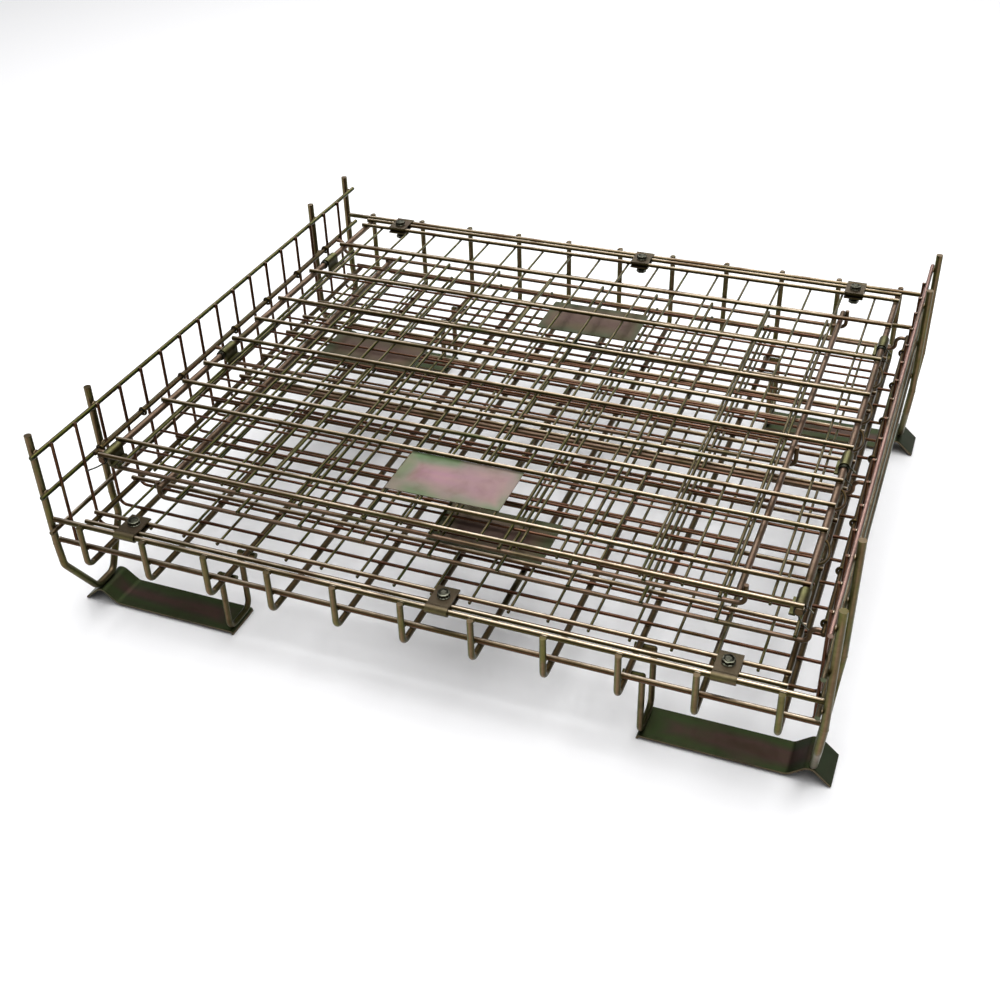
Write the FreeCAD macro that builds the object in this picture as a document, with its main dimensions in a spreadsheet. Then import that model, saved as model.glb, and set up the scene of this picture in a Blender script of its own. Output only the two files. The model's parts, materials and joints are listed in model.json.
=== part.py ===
"""Folding wire mesh container, folded flat: a base basket on four feet with four hinged mesh walls.

Origin: bottom centre, on the surface that the feet stand on. X runs left to right between the two
low side walls, Y from the front edge to the back edge, Z up. Millimetres. The walls lie on each
other in this order, from below: front wall, right end wall, left end wall, back wall.
"""
import FreeCAD
import Part

import math
import os
import re

import Sketcher

Vector = FreeCAD.Vector
Rotation = FreeCAD.Rotation
Placement = FreeCAD.Placement

doc = FreeCAD.newDocument("wire_mesh_container")

# ---------------------------------------------------------------- driving dimensions

DIMENSIONS = {
    # floor mesh: heavy bars along Y, light wires along X on top of them
    "bar_pitch": 100, "edge_bar_x": 505, "bar_diameter": 9, "floor_height": 119,
    "wire_pitch": 55.5, "first_wire_y": -463.2, "wire_diameter": 5, "bend_radius": 12,
    # rails of the low front and back walls, and of the low side walls
    "long_rail_y": 485.5, "long_rail_diameter": 8, "long_rail_half": 553.5,
    "front_top_z": 190, "front_lower_z": 154, "back_top_z": 259, "back_lower_z": 194.5,
    "front_upright_rise": 2.5,
    "side_rail_x": 550, "side_rail_diameter": 7, "side_rail_half": 503,
    "side_top_z": 307, "side_middle_z": 239, "side_lower_z": 177,
    # post loops: one rod makes two posts and the yoke that stands on the foot; below the side
    # rails the loop leans inward
    "post_diameter": 11, "post_outer_y": 488, "post_gap": 139, "post_top_z": 335,
    "lean_z": 148, "lean_angle": 4.5, "knee_drop": 40, "yoke_drop": 117, "yoke_inset": 49,
    "post_bend": 18, "bend_swell": 0.3,
    # foot plates: turned-down inner end, flat strip, hump that straddles the rim of a
    # container below, lip
    "foot_y": 410, "foot_width": 60, "foot_thickness": 3, "foot_inner_x": 315,
    "foot_raise": 5.5, "foot_flat_x": 518, "hump_x": 546, "hump_z": 28.5, "lip_x": 575.5,
    "lip_z": 2, "heel_bend": 4, "foot_bend": 12,
    # foot loops: the rod at the inner end of each foot plate, bent up to both sides; its ends
    # turn sideways and run under the heavy bar that is foot_bar pitches from the middle
    "foot_loop_diameter": 9, "foot_loop_x": 318, "foot_loop_width": 56, "foot_loop_bend": 14,
    "foot_bar": 3, "foot_loop_overlap": 9,
    # what the four folding walls share
    "rod_diameter": 6.5, "mesh_diameter": 4, "mesh_pitch": 55, "wall_half_width": 508,
    "stack_gap": 0.8, "plate_thickness": 1.5, "sign_length": 170, "sign_width": 98,
    # the back wall rises a little towards the front, where it lies on the left end wall
    "back_wall_slope": 0.65,
    # long walls (front and back): distances of their rods along X from the hinge rail
    "row_hinge": 11.5, "row_clamp": 35, "row_a": 130, "row_b": 252, "row_c": 368,
    "row_d": 450, "row_e": 525, "row_f": 614, "row_g": 676, "row_i": 736, "row_j": 856,
    "row_k": 901, "edge_rod_x": 503, "back_edge_diameter": 10, "front_edge_diameter": 8,
    # hinge clips of the long walls
    "clip_x": 432, "clip_middle_x": 50, "clip_width": 32, "clip_sheet": 2.5,
    "clip_reach": 42, "slot_clearance": 0.1, "pin_clearance": 0.3, "bolt_offset": 23.25,
    "bolt_diameter": 8, "bolt_clearance": 0.2, "head_diameter": 18, "head_crown": 12,
    "head_height": 7, "bolt_tail": 1.5, "nut_width": 13, "nut_height": 6.5,
    # latch hooks on the edge rods of the back wall
    "hook_width": 34, "hook_sheet": 3, "hook_drop": 14, "hook_toe": 5,
    "hook_front_y": -393, "hook_middle_y": -66, "hook_back_y": 300,
    # end walls (left and right)
    "right_half": 394, "left_half": 386, "end_middle_y": -56, "end_wire_pitch": 56,
    "cross_diameter": 5, "cross_pitch": 100, "cross_first": 500, "wire_overlap": 4,
    "joggle_height": 22.5, "joggle_bend": 9, "joggle_x": 517, "end_hinge_x": 534,
    "rim_x": 424, "rim_diameter": 9, "rim_overhang": 8, "left_leg_rise": 4,
    # wire eyes that hold the hinge rods of the end walls to the middle side rails
    "eye_wire": 4,
    # sign plates: X of the middle on the front wall, corners on the end walls
    "back_sign_x": 2, "front_sign_x": 60, "left_sign_x": -60, "left_sign_y": 205,
    "right_sign_x": -400, "right_sign_y": 40,
}

BARS = 9
WIRES = 17
MESH_WIRES = 9
CROSS_RODS = 10
END_WIRES_EACH_SIDE = 6
EYE_STEPS = (1.5, 3.5, 5.5, 8.5, 10.5, 12.5, 14.5)
ROWS = ("row_a", "row_b", "row_c", "row_d", "row_e", "row_f", "row_g", "row_i", "row_j", "row_k")

# heights and positions that follow from the driving dimensions
BAR_Z = "(floor_height + bar_diameter / 2)"
WIRE_Z = "(floor_height + bar_diameter + wire_diameter / 2)"
BAR_REACH = "(long_rail_y + long_rail_diameter / 2 + bar_diameter / 2)"
WIRE_REACH = "(side_rail_x - side_rail_diameter / 2 - wire_diameter / 2)"
POST_X = "(side_rail_x + side_rail_diameter / 2 + post_diameter / 2)"
RIGHT_Z = "(front_top_z + rod_diameter + stack_gap)"
RIGHT_HINGE_Z = f"({RIGHT_Z} + joggle_height)"
LEFT_Z = f"({RIGHT_HINGE_Z} + rim_diameter / 2 + stack_gap + rod_diameter / 2)"
LEFT_HINGE_Z = f"({LEFT_Z} + joggle_height)"
LEAF_HALF = "((rod_diameter + slot_clearance) / 2 + clip_sheet)"
HINGE_FACE_X = "(end_hinge_x - rod_diameter / 2)"

ALONG = {
    "x": Rotation(Vector(0, 1, 0), 90),
    "y": Rotation(Vector(1, 0, 0), -90),
    "z": Rotation(),
}
HALF_TURN = Rotation(Vector(0, 0, 1), 180)
NO_TURN = Rotation()

dims = doc.addObject("Spreadsheet::Sheet", "dims")
for row, (alias, value) in enumerate(DIMENSIONS.items(), start=1):
    dims.set(f"A{row}", alias)
    dims.set(f"B{row}", str(value))
    dims.setAlias(f"B{row}", alias)
doc.recompute()

nodes = {}


# ---------------------------------------------------------------- helpers

def spell(formula):
    """A formula with each driving dimension spelled as a cell of the sheet."""
    def cell(match):
        word = match.group()
        return f"dims.{word}" if word in DIMENSIONS else word
    return re.sub(r"[a-z_]+", cell, str(formula))


def number(formula):
    """What a formula over the driving dimensions comes to, worked out in a spare cell."""
    dims.set("D1", f"={formula}")
    dims.recompute()
    return float(dims.get("D1"))


def bind(thing, **formulas):
    for name, formula in formulas.items():
        thing.setExpression(name, spell(formula))
    return thing


def place(thing, x, y, z, turn=NO_TURN):
    """Turn an object and bind its position to three formulas."""
    thing.Placement = Placement(Vector(), turn)
    for axis, formula in zip("xyz", (x, y, z)):
        thing.setExpression(f"Placement.Base.{axis}", spell(formula))
    return thing


def rod(axis, diameter, length, x, y, z):
    """A straight rod that starts at x, y, z and runs along one axis."""
    cylinder = doc.addObject("Part::Cylinder", "rod")
    bind(cylinder, Radius=f"({diameter}) / 2", Height=length)
    return place(cylinder, x, y, z, ALONG[axis])


def centred_rod(axis, diameter, half_length, x, y, z):
    """A straight rod whose middle is at 0 along its own axis."""
    start = {"x": x, "y": y, "z": z}
    start[axis] = f"-({half_length})"
    return rod(axis, diameter, f"2 * ({half_length})", start["x"], start["y"], start["z"])


def block(length, width, height, x, y, z):
    box = doc.addObject("Part::Box", "block")
    bind(box, Length=length, Width=width, Height=height)
    return place(box, x, y, z)


def fuse(*pieces):
    union = doc.addObject("Part::MultiFuse", "union")
    union.Shapes = list(pieces)
    return union


def cut(base, tool):
    difference = doc.addObject("Part::Cut", "difference")
    difference.Base = base
    difference.Tool = tool
    return difference


def copy_of(prototype, x, y, z, turn=NO_TURN):
    link = doc.addObject("App::Link", "copy")
    link.LinkedObject = prototype
    return place(link, x, y, z, turn)


def node(label, *pieces):
    """One named sub-part, made of one piece or of several separate ones."""
    part = doc.addObject("Part::Compound", label)
    part.Links = list(pieces)
    part.Label = label
    nodes[label] = part


def body_sketch(body, name, role, offset=0):
    """An empty sketch on one of the body's own origin planes, moved along its normal."""
    sketch = body.newObject("Sketcher::SketchObject", name)
    plane = next(f for f in body.Origin.OriginFeatures if f.Role == role)
    sketch.AttachmentSupport = (plane, "")
    sketch.MapMode = "FlatFace"
    sketch.AttachmentOffset = Placement(Vector(0, 0, offset), NO_TURN)
    return sketch


def constrain(sketch, kind, elements, name, formula):
    """Add one named driving constraint, bound to a formula."""
    index = sketch.addConstraint(Sketcher.Constraint(kind, *elements, number(formula)))
    sketch.renameConstraint(index, name)
    sketch.setExpression(f"Constraints.{name}", spell(formula))


def round_section(sketch, diameter, height):
    """A circle on the sketch's vertical axis."""
    centre = Vector(0, number(height), 0)
    sketch.addGeometry(Part.Circle(centre, Vector(0, 0, 1), number(diameter) / 2))
    sketch.addConstraint(Sketcher.Constraint("PointOnObject", 0, 3, -2))
    constrain(sketch, "Diameter", (0,), "diameter", diameter)
    constrain(sketch, "DistanceY", (-1, 1, 0, 3), "height", height)


def strip_section(sketch, sizes, height):
    """A rectangle about a point of the sketch's vertical axis, from its (width, thickness).

    The width runs along the vertical axis.
    """
    width, thickness = sizes
    corners = [
        (f"-{thickness} / 2", f"{height} - {width} / 2"),
        (f"{thickness} / 2", f"{height} - {width} / 2"),
        (f"{thickness} / 2", f"{height} + {width} / 2"),
        (f"-{thickness} / 2", f"{height} + {width} / 2"),
    ]
    points = [Vector(number(u), number(v), 0) for u, v in corners]
    for start, end in zip(points, points[1:] + points[:1]):
        sketch.addGeometry(Part.LineSegment(start, end))
    for index, (u, v) in enumerate(corners):
        following = (index + 1) % len(corners)
        sketch.addConstraint(Sketcher.Constraint("Coincident", index, 2, following, 1))
        constrain(sketch, "DistanceX", (-1, 1, index, 1), f"across{index}", u)
        constrain(sketch, "DistanceY", (-1, 1, index, 1), f"up{index}", v)


def draw_bent_path(sketch, corners, bends):
    """Straight runs through the corners, joined by tangent arcs, one radius for each bend."""
    points = [Vector(number(u), number(v), 0) for u, v in corners]
    start = points[0]
    for before, corner, after, bend in zip(points, points[1:], points[2:], bends):
        radius = number(bend)
        incoming = (corner - before).normalize()
        outgoing = (after - corner).normalize()
        half_turn = incoming.getAngle(outgoing) / 2
        setback = radius * math.tan(half_turn)
        arc_start = corner - incoming * setback
        arc_end = corner + outgoing * setback
        inward = (outgoing - incoming).normalize()
        arc_middle = corner + inward * radius * (1 / math.cos(half_turn) - 1)
        sketch.addGeometry(Part.LineSegment(start, arc_start))
        sketch.addGeometry(Part.Arc(arc_start, arc_middle, arc_end))
        start = arc_end
    sketch.addGeometry(Part.LineSegment(start, points[-1]))


def bent_piece(name, path_plane, section_plane, corners, bends, section, sizes):
    """A rod or strip bent in one plane: a section swept along the path through the corners.

    The path starts on the section's plane, which is square to its first run.
    """
    body = doc.addObject("PartDesign::Body", name)
    path = body_sketch(body, f"{name}_path", path_plane)
    draw_bent_path(path, corners, bends)
    upright_start = section_plane == "XY_Plane"
    first_height = corners[0][1]
    offset = number(first_height) if upright_start else 0
    profile = body_sketch(body, f"{name}_section", section_plane, offset)
    section(profile, sizes, "0" if upright_start else first_height)
    doc.recompute()
    pipe = body.newObject("PartDesign::AdditivePipe", f"{name}_pipe")
    pipe.Profile = profile
    pipe.Spine = (path, [f"Edge{i + 1}" for i in range(len(path.Shape.Edges))])
    return body


def upturned_end(diameter, start_z, top_z):
    """The end of a floor rod: a quarter bend and the upright above it, heading along +Y."""
    elbow = doc.addObject("Part::Torus", "elbow")
    elbow.Angle1 = -180
    elbow.Angle2 = 180
    elbow.Angle3 = 90
    bind(elbow, Radius1="bend_radius", Radius2=f"{diameter} / 2")
    place(elbow, 0, 0, "bend_radius", Rotation(Vector(0, 1, 0), 90))
    height = f"{top_z} - {start_z} - bend_radius"
    upright = rod("z", diameter, height, 0, "bend_radius", "bend_radius")
    return fuse(elbow, upright)


# ---------------------------------------------------------------- base

def bar_positions():
    """X of the heavy floor bars: an even pitch, and one bar near each side."""
    inner = [f"{i - BARS // 2} * bar_pitch" for i in range(BARS)]
    return ["-edge_bar_x", *inner, "edge_bar_x"]


def wire_y(index):
    return f"(first_wire_y + {index} * wire_pitch)"


def make_floor():
    straight = f"({BAR_REACH} - bend_radius)"
    bars = [centred_rod("y", "bar_diameter", straight, x, 0, BAR_Z) for x in bar_positions()]
    node("floor_bars", *bars)
    front_end = upturned_end("bar_diameter", BAR_Z, "(front_top_z + front_upright_rise)")
    front = [copy_of(front_end, x, f"-{straight}", BAR_Z, HALF_TURN) for x in bar_positions()]
    node("front_uprights", *front)
    back_end = upturned_end("bar_diameter", BAR_Z, "(back_top_z + long_rail_diameter / 2)")
    node("back_uprights", *[copy_of(back_end, x, straight, BAR_Z) for x in bar_positions()])

    straight = f"({WIRE_REACH} - bend_radius)"
    wires = [centred_rod("x", "wire_diameter", straight, 0, wire_y(i), WIRE_Z)
             for i in range(WIRES)]
    node("floor_wires", *wires)
    side_end = upturned_end("wire_diameter", WIRE_Z, "(side_top_z + side_rail_diameter / 2)")
    for label, sign, angle in (("left_wall_wires", "-", 90), ("right_wall_wires", "", -90)):
        turn = Rotation(Vector(0, 0, 1), angle)
        node(label, *[copy_of(side_end, sign + straight, wire_y(i), WIRE_Z, turn)
                      for i in range(WIRES)])


def make_rails():
    for label, y, z in (
        ("front_top_rail", "-long_rail_y", "front_top_z"),
        ("front_lower_rail", "-long_rail_y", "front_lower_z"),
        ("back_top_rail", "long_rail_y", "back_top_z"),
        ("back_lower_rail", "long_rail_y", "back_lower_z"),
    ):
        node(label, centred_rod("x", "long_rail_diameter", "long_rail_half", 0, y, z))
    for side, x in (("left", "-side_rail_x"), ("right", "side_rail_x")):
        for level in ("top", "middle", "lower"):
            z = f"side_{level}_z"
            rail = centred_rod("y", "side_rail_diameter", "side_rail_half", x, 0, z)
            node(f"{side}_{level}_rail", rail)


def make_corner(label, x_sign, y_sign):
    """Post loop, foot plate and foot loop of one corner."""
    far = "post_gap - yoke_inset"
    loop = bent_piece(
        f"{label}_yoke_rod", "YZ_Plane", "XY_Plane",
        [("0", "0"), ("0", "-knee_drop"), ("yoke_inset", "-yoke_drop"),
         (far, "-yoke_drop"), ("post_gap", "-knee_drop"), ("post_gap", "0")],
        ["post_bend"] * 4, round_section, "post_diameter")
    start_y = "-post_outer_y" if y_sign == "-" else "post_outer_y - post_gap"
    inward = Rotation(Vector(0, 1, 0), 1) if x_sign == "" else Rotation(Vector(0, -1, 0), 1)
    place(loop, x_sign + POST_X, start_y, "lean_z", inward)
    bind(loop, **{"Placement.Rotation.Angle": "lean_angle"})
    pieces = [loop]
    for y in (start_y, f"{start_y} + post_gap"):
        height = "post_top_z - lean_z"
        pieces.append(rod("z", "post_diameter", height, x_sign + POST_X, y, "lean_z"))
        bend = bind(doc.addObject("Part::Sphere", "bend"), Radius="post_diameter / 2 + bend_swell")
        pieces.append(place(bend, x_sign + POST_X, y, "lean_z"))
    node(f"{label}_post_loop", fuse(*pieces))

    strip = bent_piece(
        f"{label}_foot_strip", "XZ_Plane", "XY_Plane",
        [("0", "0"), ("0", "foot_raise"), ("foot_flat_x - foot_inner_x", "foot_raise"),
         ("hump_x - foot_inner_x", "hump_z"), ("lip_x - foot_inner_x", "lip_z")],
        ["heel_bend", "foot_bend", "foot_bend"], strip_section,
        ("foot_width", "foot_thickness"))
    turn = HALF_TURN if x_sign == "-" else NO_TURN
    place(strip, x_sign + "foot_inner_x", y_sign + "foot_y", 0, turn)
    node(f"{label}_foot_plate", strip)

    rest_z = "(foot_raise + foot_thickness / 2 + foot_loop_diameter / 2)"
    under_bars = "(floor_height - foot_loop_diameter / 2)"
    staple = bent_piece(
        f"{label}_foot_staple", "YZ_Plane", "XY_Plane",
        [("0", under_bars), ("0", rest_z), ("foot_loop_width", rest_z),
         ("foot_loop_width", under_bars)],
        ["foot_loop_bend"] * 2, round_section, "foot_loop_diameter")
    near_y = f"{y_sign}foot_y - foot_loop_width / 2"
    x = f"{x_sign}foot_loop_x"
    foot_end = "(foot_bar * bar_pitch - foot_loop_overlap)"
    pieces = [place(staple, x, near_y, 0)]
    for y in (near_y, f"{near_y} + foot_loop_width"):
        start = x if x_sign == "-" else foot_end
        end_length = f"foot_loop_x - {foot_end}"
        pieces.append(rod("x", "foot_loop_diameter", end_length, start, y, under_bars))
        radius = "foot_loop_diameter / 2 + bend_swell"
        bend = bind(doc.addObject("Part::Sphere", "bend"), Radius=radius)
        pieces.append(place(bend, x, y, under_bars))
    node(f"{label}_foot_loop", fuse(*pieces))


def make_hinge_eyes(side, x_sign, hinge_z):
    """Wire rings round the hinge rod of an end wall, each with a stem to the middle side rail."""
    ring = doc.addObject("Part::Torus", "ring")
    ring_radius = "(rod_diameter / 2 + pin_clearance + eye_wire / 2)"
    bind(ring, Radius1=ring_radius, Radius2="eye_wire / 2")
    place(ring, "end_hinge_x", 0, hinge_z, ALONG["y"])

    across = "(side_rail_x - end_hinge_x)"
    up = f"(side_middle_z - {hinge_z})"
    distance = f"sqrt({across} ^ 2 + {up} ^ 2)"
    length = f"{distance} - {ring_radius} - side_rail_diameter / 2"
    stem = rod("z", "eye_wire", length, f"end_hinge_x + {across} * {ring_radius} / {distance}",
               0, f"{hinge_z} + {up} * {ring_radius} / {distance}")
    stem.Placement.Rotation = Rotation(Vector(0, 1, 0), 1)
    bind(stem, **{"Placement.Rotation.Angle": f"atan2({across}; {up})"})
    eye = fuse(ring, stem)
    turn = HALF_TURN if x_sign == "-" else NO_TURN
    node(f"{side}_hinge_eyes", *[copy_of(eye, 0, wire_y(step), 0, turn) for step in EYE_STEPS])


# ---------------------------------------------------------------- long walls

def make_long_wall(name, y_sign, inward, turn, z, edge_diameter):
    """A front or back wall, lying flat inward of its hinge rail at height z."""
    def row_y(distance):
        return f"{y_sign}(long_rail_y - {distance})"

    def row(distance):
        return centred_rod("x", "rod_diameter", "wall_half_width", 0, row_y(distance), z)

    node(f"{name}_hinge_rod", row("row_hinge"))
    node(f"{name}_cross_rods", row("row_clamp"), *[row(distance) for distance in ROWS])

    wall_length = "(row_k - row_hinge + rod_diameter)"
    nearest = "row_k + rod_diameter / 2" if y_sign == "" else "row_hinge - rod_diameter / 2"
    edge_z = f"{z} - rod_diameter / 2 - {edge_diameter} / 2"
    edges = [rod("y", edge_diameter, wall_length, x, row_y(f"({nearest})"), edge_z)
             for x in ("-edge_rod_x", "edge_rod_x")]
    node(f"{name}_edge_rods", *edges)

    mesh_length = "(row_k - row_clamp + rod_diameter)"
    nearest = "row_k + rod_diameter / 2" if y_sign == "" else "row_clamp - rod_diameter / 2"
    mesh_z = f"{z} - rod_diameter / 2 - mesh_diameter / 2"
    wires = []
    for index in range(MESH_WIRES):
        for sign in ("-", ""):
            x = f"{sign}({index} + 0.5) * mesh_pitch"
            wires.append(rod("y", "mesh_diameter", mesh_length, x, row_y(f"({nearest})"), mesh_z))
    node(f"{name}_mesh_wires", *wires)

    middle = "clip_middle_x"
    places = [(x, f"{y_sign}long_rail_y", z, turn) for x in ("-clip_x", middle, "clip_x")]
    clip, bolt, nut = clip_set()
    node(f"{name}_hinge_clips", *[copy_of(clip, *where) for where in places])
    node(f"{name}_clip_bolts", *[copy_of(bolt, *where) for where in places])
    node(f"{name}_clip_nuts", *[copy_of(nut, *where) for where in places])


def clip_set():
    """Hinge clip, bolt and nut, about the axis of the rail, with the wall towards -Y.

    A strip is rolled round the rail; its two leaves hold the hinge rod and the clamp rod.
    """
    bore = "(long_rail_diameter + 2 * pin_clearance)"
    outer = f"({bore} + 2 * clip_sheet)"
    slot = "(rod_diameter + slot_clearance)"
    knuckle = centred_rod("x", outer, "clip_width / 2", 0, 0, 0)
    leaves = block("clip_width", "clip_reach", f"2 * {LEAF_HALF}",
                   "-clip_width / 2", "-clip_reach", f"-{LEAF_HALF}")
    rail_bore = centred_rod("x", bore, "clip_width", 0, 0, 0)
    gap = block("2 * clip_width", "2 * clip_reach", slot, "-clip_width", "-2 * clip_reach",
                f"-{slot} / 2")
    hole_diameter = "bolt_diameter + 2 * bolt_clearance"
    hole = centred_rod("z", hole_diameter, "clip_width", 0, "-bolt_offset", 0)
    clip = cut(fuse(knuckle, leaves), fuse(rail_bore, gap, hole))

    bottom = f"({LEAF_HALF} + nut_height + bolt_tail)"
    shank = rod("z", "bolt_diameter", f"{bottom} + {LEAF_HALF} + head_height / 2",
                0, "-bolt_offset", f"-{bottom}")
    head = doc.addObject("Part::Cone", "head")
    bind(head, Radius1="head_diameter / 2", Radius2="head_crown / 2", Height="head_height")
    bolt = fuse(shank, place(head, 0, "-bolt_offset", LEAF_HALF))

    hexagon = doc.addObject("Part::Prism", "hexagon")
    hexagon.Polygon = 6
    bind(hexagon, Circumradius="nut_width / sqrt(3)", Height="nut_height")
    place(hexagon, 0, "-bolt_offset", f"-{LEAF_HALF} - nut_height")
    thread = centred_rod("z", "bolt_diameter", "clip_width", 0, "-bolt_offset", 0)
    return clip, bolt, cut(hexagon, thread)


def make_latch_hooks():
    """Folded hooks that sit over the edge rods of the back wall and reach down inside them."""
    bore = "(back_edge_diameter / 2 + slot_clearance)"
    outer = f"({bore} + hook_sheet)"
    axis_z = "(back_top_z - rod_diameter / 2 - back_edge_diameter / 2)"
    half = "hook_width / 2"
    saddle = centred_rod("y", f"2 * {outer}", half, 0, 0, 0)
    skirt = block("hook_sheet", "hook_width", "hook_drop", f"-{outer}", f"-{half}", "-hook_drop")
    toe = block("hook_toe + hook_sheet", "hook_width", "hook_sheet",
                f"-{outer} - hook_toe", f"-{half}", "-hook_drop")
    rod_bore = centred_rod("y", f"2 * {bore}", "hook_width", 0, 0, 0)
    below = block(f"2 * {outer}", "2 * hook_width", f"2 * {outer}",
                  f"-{bore}", "-hook_width", f"-2 * {outer}")
    hook = cut(fuse(saddle, skirt, toe), fuse(rod_bore, below))
    hooks = []
    for y in ("hook_front_y", "hook_middle_y", "hook_back_y"):
        hooks.append(copy_of(hook, "-edge_rod_x", y, axis_z, HALF_TURN))
        hooks.append(copy_of(hook, "edge_rod_x", y, axis_z))
    node("back_wall_latch_hooks", *hooks)


# ---------------------------------------------------------------- end walls

def make_end_wall(name, x_sign, half, z, leg_rise):
    """An end wall, lying flat inward of its hinge rod; its plane is at height z.

    The side rods rise in a joggle to the hinge rod, and at the far end to the rim.
    """
    hinge_z = f"({z} + joggle_height)"
    turn = HALF_TURN if x_sign == "" else NO_TURN
    inward = "-" if x_sign == "" else ""
    joggle = f"({HINGE_FACE_X} - joggle_x)"
    leg = f"({HINGE_FACE_X} + rim_x + rim_diameter / 2 + rod_diameter / 2)"
    leg_top = f"joggle_height + rim_diameter / 2 + {leg_rise}"
    side_rods = []
    for index, y in enumerate((f"-{half}", "end_middle_y", half)):
        piece = bent_piece(
            f"{name}_side_rod_{index}", "XZ_Plane", "YZ_Plane",
            [("0", "joggle_height"), (joggle, "joggle_height"), (joggle, "0"), (leg, "0"),
             (leg, leg_top)],
            ["joggle_bend"] * 3, round_section, "rod_diameter")
        side_rods.append(place(piece, x_sign + HINGE_FACE_X, y, z, turn))
    node(f"{name}_side_rods", *side_rods)

    reach = f"({half} + rim_overhang)"
    hinge_x = f"{x_sign}end_hinge_x"
    node(f"{name}_hinge_rod", centred_rod("y", "rod_diameter", reach, hinge_x, 0, hinge_z))
    node(f"{name}_rim", centred_rod("y", "rim_diameter", reach, f"{inward}rim_x", 0, hinge_z))

    cross_z = f"{z} + rod_diameter / 2 + cross_diameter / 2"
    cross_half = f"({half} + rod_diameter / 2)"
    cross_rods = []
    for index in range(CROSS_RODS):
        x = f"{x_sign}(cross_first - {index} * cross_pitch)"
        cross_rods.append(centred_rod("y", "cross_diameter", cross_half, x, 0, cross_z))
    node(f"{name}_cross_rods", *cross_rods)

    mesh_z = f"{z} + rod_diameter / 2 - mesh_diameter / 2"
    span = f"({CROSS_RODS - 1} * cross_pitch + 2 * wire_overlap)"
    outer_end = "(cross_first + wire_overlap)"
    start_x = f"-{outer_end}" if x_sign == "-" else f"{outer_end} - {span}"
    middle = round(number("end_middle_y / end_wire_pitch"))
    wires = []
    for step in range(-END_WIRES_EACH_SIDE, END_WIRES_EACH_SIDE + 1):
        if step == middle:
            continue
        wires.append(rod("x", "mesh_diameter", span, start_x, f"{step} * end_wire_pitch", mesh_z))
    node(f"{name}_mesh_wires", *wires)


def make_sign_plates():
    """Blank sign plates: on the mesh wires of the long walls, on the cross rods of the ends."""
    on_mesh = "rod_diameter / 2"
    half = "sign_length / 2"
    back_y = "long_rail_y - row_i - rod_diameter / 2 - slot_clearance - sign_width"
    front_y = "-long_rail_y + row_a + rod_diameter / 2 + slot_clearance"
    top_of_cross = "rod_diameter / 2 + cross_diameter"
    for label, x, y, z in (
        ("back_wall_sign_plate", f"back_sign_x - {half}", back_y, f"back_top_z - {on_mesh}"),
        ("front_wall_sign_plate", f"front_sign_x - {half}", front_y, f"front_top_z - {on_mesh}"),
        ("left_end_sign_plate", "left_sign_x", "left_sign_y", f"{LEFT_Z} + {top_of_cross}"),
        ("right_end_sign_plate", "right_sign_x", "right_sign_y", f"{RIGHT_Z} + {top_of_cross}"),
    ):
        node(label, block("sign_length", "sign_width", "plate_thickness", x, y, z))


# ---------------------------------------------------------------- assembly

make_floor()
make_rails()
for y_name, y_sign in (("front", "-"), ("back", "")):
    for x_name, x_sign in (("left", "-"), ("right", "")):
        make_corner(f"{y_name}_{x_name}", x_sign, y_sign)
make_hinge_eyes("left", "-", LEFT_HINGE_Z)
make_hinge_eyes("right", "", RIGHT_HINGE_Z)
make_long_wall("back_wall", "", "-", NO_TURN, "back_top_z", "back_edge_diameter")
make_latch_hooks()
make_long_wall("front_wall", "-", "", HALF_TURN, "front_top_z", "front_edge_diameter")
make_end_wall("right_end", "", "right_half", RIGHT_Z, "0")
make_end_wall("left_end", "-", "left_half", LEFT_Z, "left_leg_rise")
make_sign_plates()

turn_y = "(long_rail_y * cos(back_wall_slope) + back_top_z * sin(back_wall_slope))"
turn_z = "(back_top_z * cos(back_wall_slope) - long_rail_y * sin(back_wall_slope))"
for label, part in nodes.items():
    if label.startswith("back_wall"):
        place(part, 0, f"long_rail_y - {turn_y}", f"back_top_z - {turn_z}", Rotation(Vector(-1, 0, 0), 1))
        bind(part, **{"Placement.Rotation.Angle": "back_wall_slope"})
doc.recompute()

for thing in doc.Objects:
    if "Invalid" in thing.State or "Error" in thing.State:
        raise RuntimeError(f"{thing.Name} ({thing.Label}) failed: {thing.State}")
for label, part in nodes.items():
    if part.Shape.isNull() or not part.Shape.isValid() or not part.Shape.Solids:
        raise RuntimeError(f"{label} has no valid solid")

os.makedirs("parts", exist_ok=True)
for label, part in nodes.items():
    part.Shape.exportStep(os.path.join("parts", f"{label}.step"))
box = Part.makeCompound([part.Shape for part in nodes.values()]).BoundBox
print(f"{len(nodes)} nodes, {sum(len(part.Shape.Solids) for part in nodes.values())} solids")
print(f"box {box.XMin:.2f} {box.XMax:.2f} | {box.YMin:.2f} {box.YMax:.2f} | {box.ZMin:.2f} {box.ZMax:.2f}")
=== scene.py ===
"""Looks of the folded wire mesh container: finishes, welds, bolts, wire parts, light, camera.

Metres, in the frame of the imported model: X left to right, Y front to back, Z up from the feet.
"""

import json
import math
import random

import bmesh
import bpy
from mathutils import Euler, Matrix, Vector


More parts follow.
